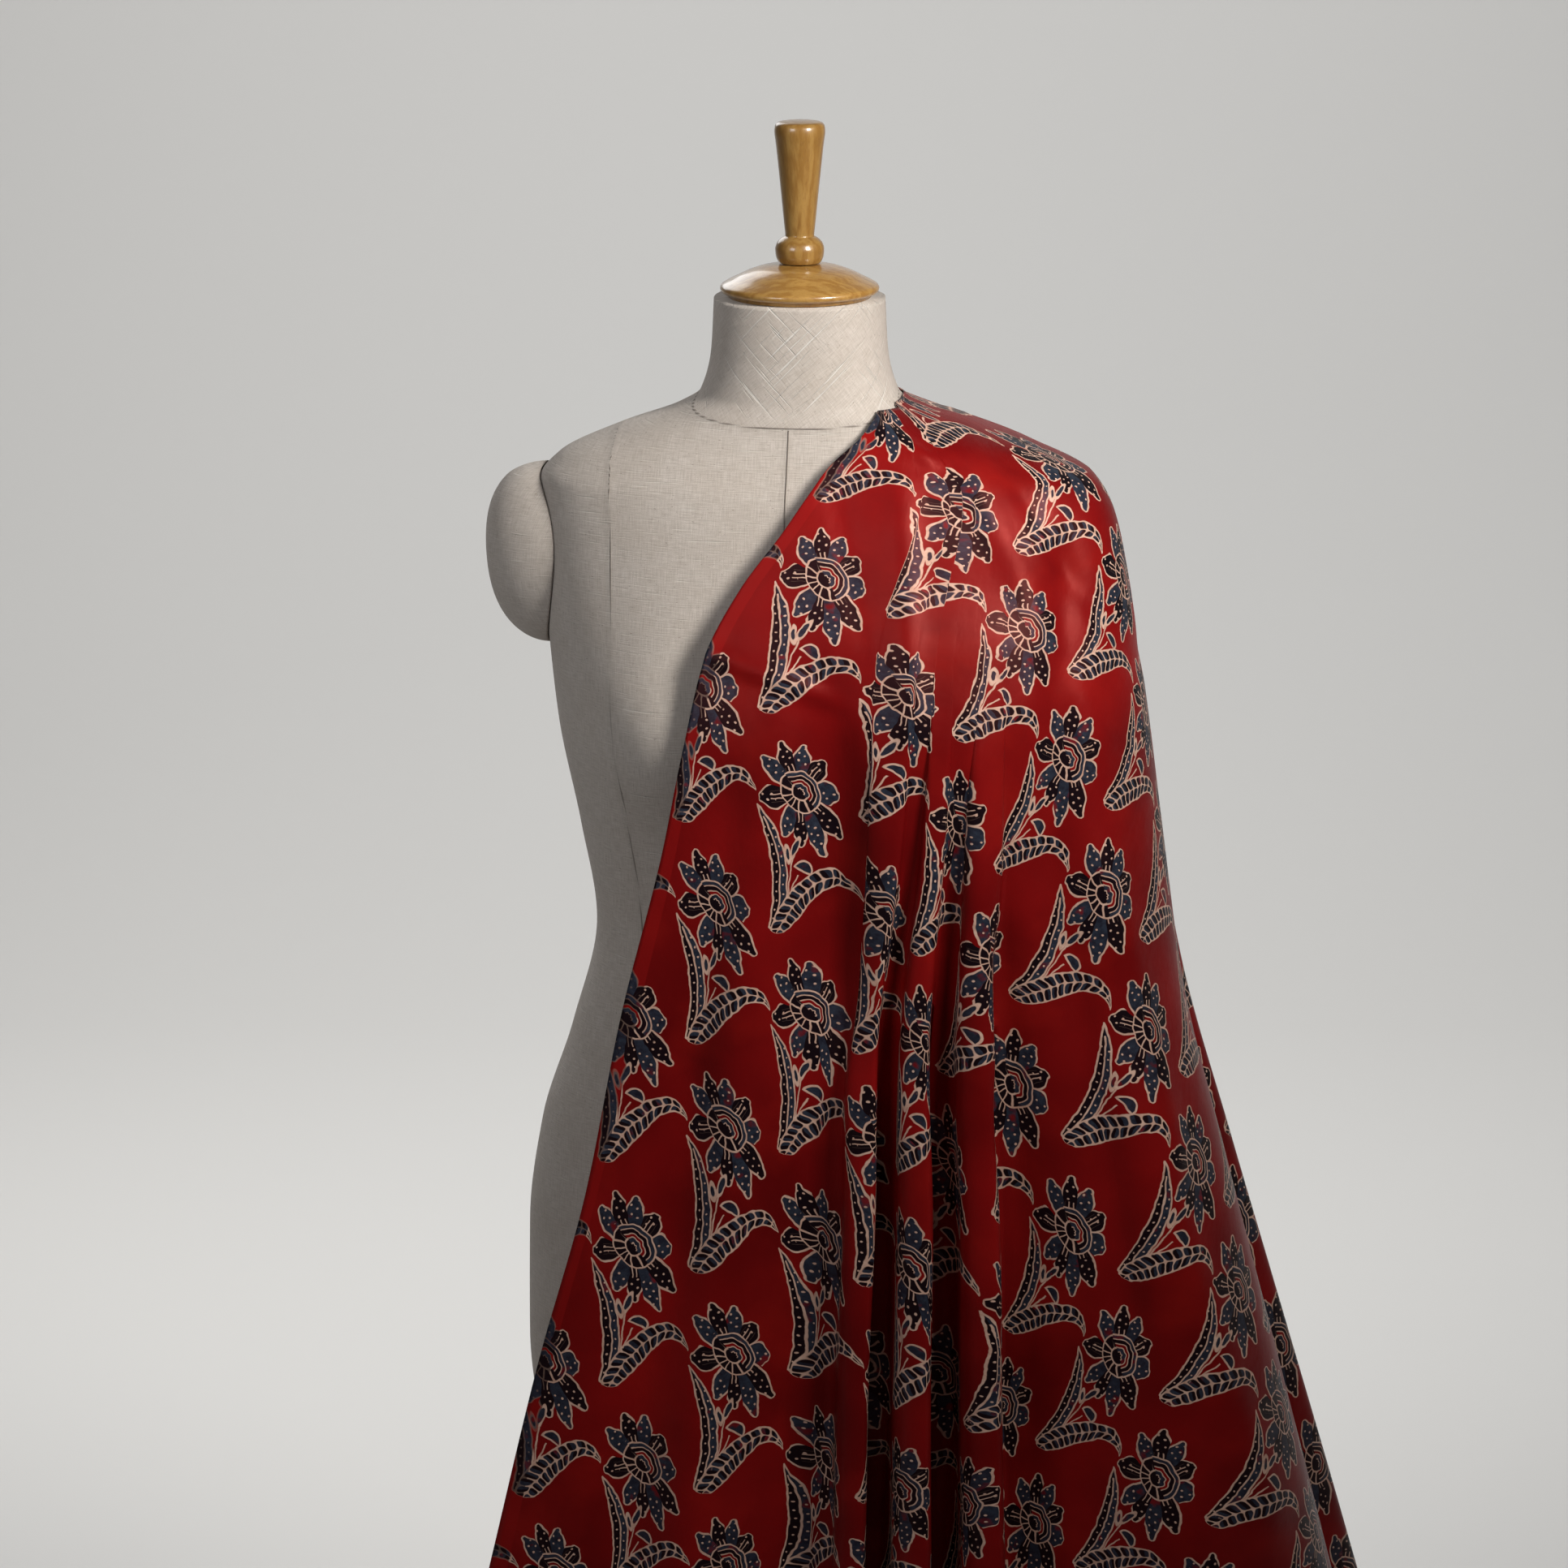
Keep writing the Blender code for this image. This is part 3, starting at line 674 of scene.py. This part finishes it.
def sprig(x, y):
    # Two stems with a bud, a small leaf and a half-moon leaf
    sx, sy = cell(x, y, (0.9, -5.6))
    stem = absolute(sx - 0.62 + (sy + 5.2) * 0.085) - 0.05
    stem = larger(stem, absolute(sy + 5.5) - 1.9)
    slant = absolute(sx - 1.10 - (sy + 6.3) * 0.22) - 0.05
    slant = larger(slant, absolute(sy + 6.35) - 0.75)
    bud = length((sx - 0.60 - (sy + 3.9) * 0.12) * 3.4, sy + 3.85) - 0.72
    small = length((sx - 0.15 + (sy + 4.4) * 0.42) * 2.6, sy + 4.40) - 0.50
    moonX, moonY = sx - 1.55, sy + 5.30
    moon = larger(length(moonX, moonY) - 0.66, 0.0 - moonY - moonX * 0.30 - 0.02)
    shapes = smaller(smaller(bud, small) * 0.4, moon)
    leaf = inside(shapes)
    creamMask = larger(band(shapes, 0.065), larger(inside(stem), inside(slant)) * (1.0 - leaf))
    return creamMask, leaf, 0.15


def printMaterial():
    material, shader = newMaterial("block_print")
    uv = Wire(node("ShaderNodeUVMap", uv_map="flat").outputs[0])
    ux, uy, _ = split(uv)
    x0, y0 = ux * 100.0, uy * 100.0
    place = joined(x0, y0)
    # A hand-cut, hand-placed block wavers a little
    sway = split(noise(place, 0.9, 2.0, colour=True))
    x = x0 + (sway[0] - 0.5) * 0.36 - repeat["origin"][0]
    y = y0 + (sway[1] - 0.5) * 0.36 - repeat["origin"][1]

    # Madder ground, deeper and brighter in clouds
    patch = noise(place, 0.055, 3.0, 0.6)
    worn = noise(place, 1.7, 4.0, 0.7)
    colour = blendColour(ranged(patch, 0.35, 0.66), ink["deep"], ink["red"])
    colour = blendColour(ranged(noise(place, 0.16, 3.0), 0.50, 0.74, 0, 0.40), colour, ink["warm"])
    colour = blendColour(ranged(worn, 0.3, 0.8, 0.0, 0.18), colour, ink["deep"])
    strip = inside(x0 - selvedge, 0.06)
    colour = blendColour(strip * 0.5, colour, (0.30, 0.0072, 0.0070))

    # Indigo takes unevenly and leaves red slivers; the resist fades where the cloth is worn
    indigo = blendColour(ranged(worn, 0.38, 0.72), ink["indigo"], ink["washed"])
    taken = ranged(noise(place, 0.75, 2.0), 0.30, 0.40, 0.25, 1.0)
    resist = blendColour(ranged(worn, 0.35, 0.75), ink["cream"], ink["faded"])
    for motif in (flower, longLeaf, bentLeaf, sprig):
        creamMask, fillMask, isBlack = motif(x, y)
        fill = blendColour(isBlack, indigo, ink["black"])
        colour = blendColour(fillMask * larger(taken, isBlack), colour, fill)
        colour = blendColour(creamMask * (1.0 - strip * 0.8) * 0.96, colour, resist)
    feed(shader, "Base Color", colour)

    # Fine weave, threads of uneven thickness, and a satin face
    warp = calc("SINE", x0 * (2 * pi / 0.055))
    weft = calc("SINE", y0 * (2 * pi / 0.060))
    slub = noise(joined(x0 * 0.35, y0 * 14.0), 1.0, 2.0) + noise(joined(x0 * 14.0, y0 * 0.35), 1.0, 2.0)
    crumple = noise(joined(x0 + y0 * 0.25, y0 * 0.45), 0.30, 4.0, 0.58)
    bumped(shader, warp * weft * 0.5 + slub * 1.2 + crumple * 46.0, 0.00004, 0.5)
    feed(shader, "Roughness", ranged(worn, 0.2, 0.8, 0.38, 0.47))
    shader.inputs["Specular IOR Level"].default_value = 0.42
    shader.inputs["Specular Tint"].default_value = (0.85, 0.22, 0.19, 1)
    print("print shader nodes", len(Wire.tree.nodes))
    return material


clothPiece.data.materials.append(printMaterial())


# Linen: one weave read round the form, with slubs, flecks and sewn seams
def linenMaterial(name, bias=0.0, sewn=True):
    material, shader = newMaterial(name)
    uv = Wire(node("ShaderNodeUVMap", uv_map="flat").outputs[0])
    ux, uy, _ = split(uv)
    x0, y0 = ux * 100.0, uy * 100.0
    c, s = cos(bias), sin(bias)
    x = x0 * c + y0 * s
    y = y0 * c - x0 * s
    place = joined(x, y)
    warpSlub = noise(joined(x * 13.0, y * 0.9), 1.0, 3.0, 0.6)
    weftSlub = noise(joined(x * 0.9, y * 13.0), 1.0, 3.0, 0.6)
    thick = noise(joined(x * 0.25, y * 7.0, 7.0), 1.0, 2.0, 0.5)
    cloud = noise(place, 0.22, 3.0, 0.6)
    threads = calc("SINE", x * (2 * pi / 0.085)) * calc("SINE", y * (2 * pi / 0.085))
    tone = blendColour(ranged(warpSlub + weftSlub, 0.70, 1.30), (0.44, 0.385, 0.338), (0.64, 0.580, 0.530))
    tone = blendColour(ranged(thick, 0.62, 0.74, 0.0, 0.55), tone, (0.72, 0.68, 0.62))
    tone = blendColour(ranged(cloud, 0.35, 0.7, 0.0, 0.22), tone, (0.42, 0.350, 0.285))
    fleck = noise(joined(x * 3.2, y * 10.0), 1.0, 1.0)
    fleckB = noise(joined(x * 10.0, y * 3.2, 4.0), 1.0, 1.0)
    tone = blendColour(ranged(fleck, 0.70, 0.76, 0.0, 0.55), tone, (0.17, 0.13, 0.10))
    tone = blendColour(ranged(fleckB, 0.71, 0.77, 0.0, 0.45), tone, (0.20, 0.16, 0.12))
    weave = threads * 0.35 + warpSlub * 1.0 + weftSlub * 1.2 + ranged(thick, 0.60, 0.76) * 1.6
    if sewn:
        # On the neck the linen is cut on the bias, with thick threads that cross
        onNeck = ranged(y0, 138.5, 140.5, 0.0, 1.0)
        for way in (1.0, -1.0):
            slub = noise(joined((x0 + y0 * way) * 0.10, (x0 * way - y0) * 3.6, way * 9.0), 1.0, 2.0, 0.5)
            thread = ranged(slub, 0.63, 0.69) * onNeck
            tone = blendColour(thread * 0.60, tone, (0.80, 0.77, 0.72))
            weave = weave + thread * 2.5
        # Distances to the seams ride on the mesh, in centimetres
        toSeams = split(Wire(node("ShaderNodeAttribute", attribute_name="seams").outputs["Vector"]))
        nearest = smaller(smaller(absolute(toSeams[0]), absolute(toSeams[1])), absolute(toSeams[2]))
        stitch = inside(nearest - 0.045, 0.06)
        # A soft band beside each seam: the bump dents it, and its darkening is painted shade of that dent
        seamDentAndShade = inside(nearest - 0.25, 0.5)
        tone = blendColour(stitch * 0.75, tone, (0.15, 0.12, 0.095))
        # Painted shade in the soft band beside each seam
        tone = blendColour(seamDentAndShade * 0.12, tone, (0.20, 0.17, 0.14))
        weave = weave - stitch * 4.0 - seamDentAndShade * 2.0
    feed(shader, "Base Color", tone)
    shader.inputs["Roughness"].default_value = 0.88
    shader.inputs["Specular IOR Level"].default_value = 0.22
    shader.inputs["Sheen Weight"].default_value = 0.10
    bumped(shader, weave, 0.00022, 0.85)
    return material


torso = dict(around=420, seamDrop=0.0165)
heights = np.concatenate((np.linspace(form["bottom"], 1.330, 150), np.linspace(1.333, 1.402, 50),
                          np.linspace(1.405, form["top"], 34)))
angles = np.linspace(0, 2 * pi, torso["around"], endpoint=False)
gridH, gridA = np.meshgrid(heights, angles, indexing="ij")
own = formPoints(gridA, gridH)
x, zz = own[..., 0], own[..., 2]
# Princess seams run from the shoulder over the bust and in at the waist
princessRows = np.array((
    (0.620, 0.128), (0.800, 0.124), (0.930, 0.108), (1.015, 0.103), (1.110, 0.111),
    (1.200, 0.120), (1.300, 0.124), (1.360, 0.127), (1.380, 0.127)))
princess = smoothRows(princessRows, zz)[..., 0]
neckSeam = 1.400 - torso["seamDrop"] * np.sin(gridA)
above = np.clip(zz - neckSeam, 0, None) * 40
seams = np.stack((np.abs(np.abs(x) - princess) + above, np.abs(x) + above, np.abs(zz - neckSeam)), axis=-1) * 100
skin = turned(own)
arcs = np.linalg.norm(np.diff(np.concatenate((skin, skin[:, :1]), axis=1), axis=1), axis=2)
roundAt = np.concatenate((np.zeros((len(heights), 1)), arcs.cumsum(axis=1)[:, :-1]), axis=1)
middle = arcs[:, :torso["around"] // 4].sum(axis=1, keepdims=True)
torsoFlat = np.stack((middle - roundAt, gridH), axis=-1)
# Close both ends with the ring's own middle
faces = gridFaces(*gridH.shape, closed=True).tolist()
count = skin.shape[0] * skin.shape[1]
last = count - torso["around"]
ends = np.stack((skin[0].mean(axis=0), skin[-1].mean(axis=0)))
for k in range(torso["around"]):
    n = (k + 1) % torso["around"]
    faces.append((k, n, count))
    faces.append((last + n, last + k, count + 1))
torsoPiece = meshObject("linen_torso", np.concatenate((skin.reshape(-1, 3), ends)), faces)
addFlat(torsoPiece, np.concatenate((torsoFlat.reshape(-1, 2), ((0, 0.6), (0, 1.48)))))
away = torsoPiece.data.attributes.new("seams", "FLOAT_VECTOR", "POINT")
seamValues = np.concatenate((seams.reshape(-1, 3), np.full((2, 3), 9.0)))
away.data.foreach_set("vector", seamValues.astype(np.float32).ravel())
torsoPiece.data.flip_normals()
torsoPiece.data.materials.append(linenMaterial("linen_body"))
torsoPiece.data.materials.append(linenMaterial("linen_neck", radians(38)))
isNeck = (gridH[:-1] + gridH[1:]) / 2 > neckSeam[:-1]
slots = np.concatenate((isNeck.astype(np.int32).ravel(), np.tile((0, 1), torso["around"])))
torsoPiece.data.polygons.foreach_set("material_index", slots.astype(np.int32))
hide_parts("torso")
print("torso made")


# Ellipse on the armhole that bulges outwards, closed by a flat copy of itself on the form's side
def armCap(name, side, node):
    rings, around = 40, 120
    reach = np.sin(np.linspace(0.0, pi / 2, rings + 1))
    turn = np.linspace(0, 2 * pi, around, endpoint=False)
    r, t = np.meshgrid(reach, turn, indexing="ij")
    y = arm["depth"] + arm["halfDepth"] * r * np.cos(t)
    z = arm["height"] + arm["halfHeight"] * r * np.sin(t)
    half, front, back = np.moveaxis(smoothRows(formRows, z), -1, 0)
    depth = np.where(y < 0, front, back)
    x = half * (1 - np.abs(y / depth)**form["power"])**(1 / form["power"]) + 0.0012
    outer = x + arm["bulge"] * np.sqrt(np.clip(1 - r**2.6, 0, 1))
    inner = np.stack((side * x, y, z), axis=-1)[::-1][1:]
    shell = np.concatenate((np.stack((side * outer, y, z), axis=-1), inner))
    piece = meshObject(name, turned(shell), gridFaces(*shell.shape[:2], closed=True))
    bm = bmesh.new()
    bm.from_mesh(piece.data)
    bmesh.ops.remove_doubles(bm, verts=bm.verts, dist=1e-7)
    bmesh.ops.recalc_face_normals(bm, faces=bm.faces)
    bm.to_mesh(piece.data)
    bm.free()
    place = np.empty(len(piece.data.vertices) * 3)
    piece.data.vertices.foreach_get("co", place)
    place = place.reshape(-1, 3)
    addFlat(piece, np.stack((place[:, 1] + side * place[:, 0] * 0.6, place[:, 2]), axis=-1))
    piece.data.polygons.foreach_set("use_smooth", np.ones(len(piece.data.polygons), bool))
    piece.data.materials.append(linenMaterial(name, sewn=False))
    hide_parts(node)


armCap("linen_arm_cap_left", -1, "arm_cap_left")
armCap("linen_arm_cap_right", 1, "arm_cap_right")


# Turned pieces: a profile of radius and height carried round the upright axis, closed at both ends
def turnedPiece(name, profile, material, node, steps=128):
    profile = np.array(profile)
    turn = np.linspace(0, 2 * pi, steps, endpoint=False)
    r, z = profile[:, 0], profile[:, 1]
    ring = np.stack((r[:, None] * np.cos(turn), r[:, None] * np.sin(turn), z[:, None] + 0 * turn), axis=-1)
    rows = len(profile)
    ends = np.array(((0, 0, z[0]), (0, 0, z[-1])))
    faces = gridFaces(rows, steps, closed=True).tolist()
    for k in range(steps):
        n = (k + 1) % steps
        faces.append((k, n, rows * steps))
        faces.append(((rows - 1) * steps + n, (rows - 1) * steps + k, rows * steps + 1))
    piece = meshObject(name, np.concatenate((ring.reshape(-1, 3), ends)), faces)
    piece.data.flip_normals()
    piece.data.materials.append(material)
    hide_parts(node)


def rounded(points, count=7):
    # A smooth run through a few named points of radius and height
    p = np.array(points)
    d = np.concatenate(((0,), np.linalg.norm(np.diff(p, axis=0), axis=1).cumsum()))
    table = np.column_stack((d, p))
    return smoothRows(table, np.linspace(0, d[-1], count * len(p))).tolist()


def woodMaterial(name, stretch, tone=0.76):
    material, shader = newMaterial(name)
    place = Wire(node("ShaderNodeTexCoord").outputs["Object"])
    x, y, z = split(place)
    grain = joined(x * stretch[0], y * stretch[1], z * stretch[2])
    wander = noise(grain, 2.2, 3.0, 0.55)
    ring = calc("SINE", (split(grain)[1] * 1.0 + split(grain)[0] * 0.55 + wander * 2.6) * 6.5)
    fine = noise(joined(x * stretch[0] * 9, y * stretch[1] * 9, z * stretch[2] * 1.2), 3.0, 4.0, 0.7)
    light = (0.56 * tone, 0.315 * tone, 0.085 * tone)
    mid = (0.43 * tone, 0.215 * tone, 0.048 * tone)
    dark = (0.22 * tone, 0.085 * tone, 0.018 * tone)
    colour = blendColour(ranged(ring, -1, 1), mid, light)
    colour = blendColour(ranged(fine, 0.5, 0.8, 0.0, 0.55), colour, dark)
    colour = blendColour(ranged(wander, 0.60, 0.80, 0.0, 0.35), colour, dark)
    feed(shader, "Base Color", colour)
    feed(shader, "Roughness", ranged(fine, 0.3, 0.8, 0.27, 0.40))
    shader.inputs["Coat Weight"].default_value = 0.7
    shader.inputs["Coat Roughness"].default_value = 0.12
    bumped(shader, fine, 0.0001, 0.35)
    return material


gap = 0.0004
capLow = form["top"] + gap
capProfile = [(0.048, capLow), (0.0500, capLow + 0.0002), (0.0502, capLow + 0.0030), (0.0535, capLow + 0.0032)]
capProfile += rounded(((0.0540, capLow + 0.0033), (0.0556, capLow + 0.0048), (0.0559, capLow + 0.0062),
                       (0.0552, capLow + 0.0080), (0.0520, capLow + 0.0102), (0.046, capLow + 0.0132),
                       (0.037, capLow + 0.0176), (0.026, capLow + 0.0212), (0.014, capLow + 0.0231)))
turnedPiece("wood_cap", capProfile, woodMaterial("cap_wood", (30, 75, 60)), "neck_cap", 160)

knobLow = capLow + gap + 0.0232
knobProfile = rounded(((0.0142, knobLow + 0.0002), (0.0152, knobLow + 0.0014), (0.0168, knobLow + 0.0052),
                       (0.0172, knobLow + 0.0098), (0.0160, knobLow + 0.0142), (0.0128, knobLow + 0.0176),
                       (0.0103, knobLow + 0.0190)), 6)
knobProfile += rounded(((0.0101, knobLow + 0.0200), (0.0103, knobLow + 0.0215), (0.0132, knobLow + 0.050),
                        (0.0168, knobLow + 0.084), (0.0178, knobLow + 0.0925), (0.0174, knobLow + 0.0962),
                        (0.0160, knobLow + 0.0982), (0.0140, knobLow + 0.0990), (0.006, 1.590)), 6)
finialWood = woodMaterial("finial_wood", (70, 95, 10), 0.62)
turnedPiece("wood_finial", knobProfile, finialWood, "finial", 96)

plateRings = []
for drop, grow in ((gap, -0.006), (0.0015, -0.0054), (0.0080, -0.0054), (0.0105, -0.0075), (0.012, -0.0120)):
    plateRings.append(turned(formPoints(angles, np.full(len(angles), form["bottom"]), grow)
                             - np.array((0, 0, drop))))
plate = np.array(plateRings)
plateFaces = gridFaces(*plate.shape[:2], closed=True).tolist()
plateCount = plate.shape[0] * plate.shape[1]
for k in range(len(angles)):
    n = (k + 1) % len(angles)
    plateFaces.append((n, k, plateCount))
    plateFaces.append((plateCount - len(angles) + k, plateCount - len(angles) + n, plateCount + 1))
platePoints = np.concatenate((plate.reshape(-1, 3), plate[[0, -1]].mean(axis=1)))
platePiece = meshObject("wood_plate", platePoints, plateFaces)
standWood = woodMaterial("stand_wood", (16, 40, 5), 0.85)
platePiece.data.materials.append(standWood)
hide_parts("bottom_plate")

poleTop = form["bottom"] - 0.012 - 0.022 - gap * 2
poleProfile = [(0.0165, 0.046 + gap), (0.0175, 0.048), (0.0175, poleTop - 0.002), (0.0165, poleTop)]
turnedPiece("wood_pole", poleProfile, standWood, "pole", 72)

baseProfile = [(0.190, 0.0)] + rounded(((0.201, 0.0), (0.2046, 0.0022), (0.205, 0.006), (0.205, 0.012),
                                        (0.2038, 0.0160), (0.2000, 0.0180), (0.1895, 0.0195), (0.1862, 0.0228),
                                        (0.1800, 0.0246), (0.155, 0.0290), (0.070, 0.0340), (0.037, 0.0380),
                                        (0.030, 0.0420), (0.0275, 0.0458)), 6) + [(0.020, 0.046)]
turnedPiece("wood_base", baseProfile, woodMaterial("base_wood", (12, 30, 40), 0.85), "base", 180)


def metalMaterial():
    material, shader = newMaterial("painted_metal")
    place = Wire(node("ShaderNodeTexCoord").outputs["Object"])
    grain = noise(place, 900.0, 3.0, 0.6)
    wear = noise(place, 60.0, 4.0, 0.7)
    feed(shader, "Base Color", blendColour(ranged(wear, 0.62, 0.72), (0.028, 0.028, 0.030), (0.10, 0.10, 0.105)))
    feed(shader, "Roughness", ranged(grain, 0.2, 0.8, 0.38, 0.52))
    shader.inputs["Metallic"].default_value = 0.6
    bumped(shader, grain, 0.00006, 0.5)
    return material


collarTop = form["bottom"] - 0.012 - gap
collarLow = collarTop - 0.022
collarProfile = [(0.020, collarLow)] + rounded(((0.0235, collarLow), (0.0260, collarLow + 0.0022),
                                                (0.0262, collarLow + 0.0085), (0.0300, collarLow + 0.0120),
                                                (0.0405, collarLow + 0.0156), (0.0420, collarLow + 0.0175)), 5)
collarProfile += [(0.0420, collarTop - 0.0008), (0.0412, collarTop)]
turnedPiece("metal_collar", collarProfile, metalMaterial(), "collar", 96)
print("form and stand made")

# Pale floor that sweeps up behind
sweepRows = np.array([(y, 0.0) for y in np.linspace(-9, 3.2, 6)]
                     + [(3.2 + 2.2 * sin(a), 2.2 - 2.2 * cos(a)) for a in np.linspace(0.05, pi / 2, 24)]
                     + [(5.4, h) for h in (3.5, 7.0)])
sweepX = np.linspace(-9, 9, 9)
sweep = np.stack((np.repeat(sweepX[None, :], len(sweepRows), 0),
                  np.repeat(sweepRows[:, :1], len(sweepX), 1),
                  np.repeat(sweepRows[:, 1:], len(sweepX), 1)), axis=-1)
floor = meshObject("floor", sweep, gridFaces(*sweep.shape[:2]), body=None)
floorMaterial, floorShader = newMaterial("floor")
floorShader.inputs["Base Color"].default_value = (0.70, 0.69, 0.67, 1)
floorShader.inputs["Roughness"].default_value = 0.8
floor.data.materials.append(floorMaterial)

lights = (
    dict(name="key", place=(0.78, -0.88, 2.02), aim=(-0.06, 0, 1.43), size=0.36, spread=radians(82), power=4.9,
         colour=(1.0, 0.965, 0.91)),
    dict(name="fill", place=(-1.2, -1.7, 2.2), aim=(-0.14, 0, 1.42), size=0.8, spread=radians(74), power=2.3,
         colour=(0.97, 0.98, 1.0)),
    dict(name="rear", place=(-1.1, 2.3, 2.6), aim=(0, 0, 0.9), size=1.4, spread=pi, power=14,
         colour=(1.0, 1.0, 1.0)),
    dict(name="backdrop", place=(0, 1.6, 3.6), aim=(0, 4.8, 1.2), size=2.4, spread=pi, power=135,
         colour=(1.0, 1.0, 1.0)),
)
for spec in lights:
    lamp = bpy.data.lights.new(spec["name"], "AREA")
    lamp.shape = "SQUARE"
    lamp.size = spec["size"]
    lamp.spread = spec["spread"]
    lamp.energy = spec["power"]
    lamp.color = spec["colour"]
    lampObject = bpy.data.objects.new(spec["name"], lamp)
    bpy.context.scene.collection.objects.link(lampObject)
    lampObject.location = spec["place"]
    way = Vector(spec["aim"]) - Vector(spec["place"])
    lampObject.rotation_euler = way.to_track_quat("-Z", "Y").to_euler()

world = bpy.data.worlds.new("studio")
world.use_nodes = True
world.node_tree.nodes["Background"].inputs["Color"].default_value = (0.80, 0.82, 0.85, 1)
world.node_tree.nodes["Background"].inputs["Strength"].default_value = 0.055
bpy.context.scene.world = world
bpy.context.scene.view_settings.view_transform = "Standard"
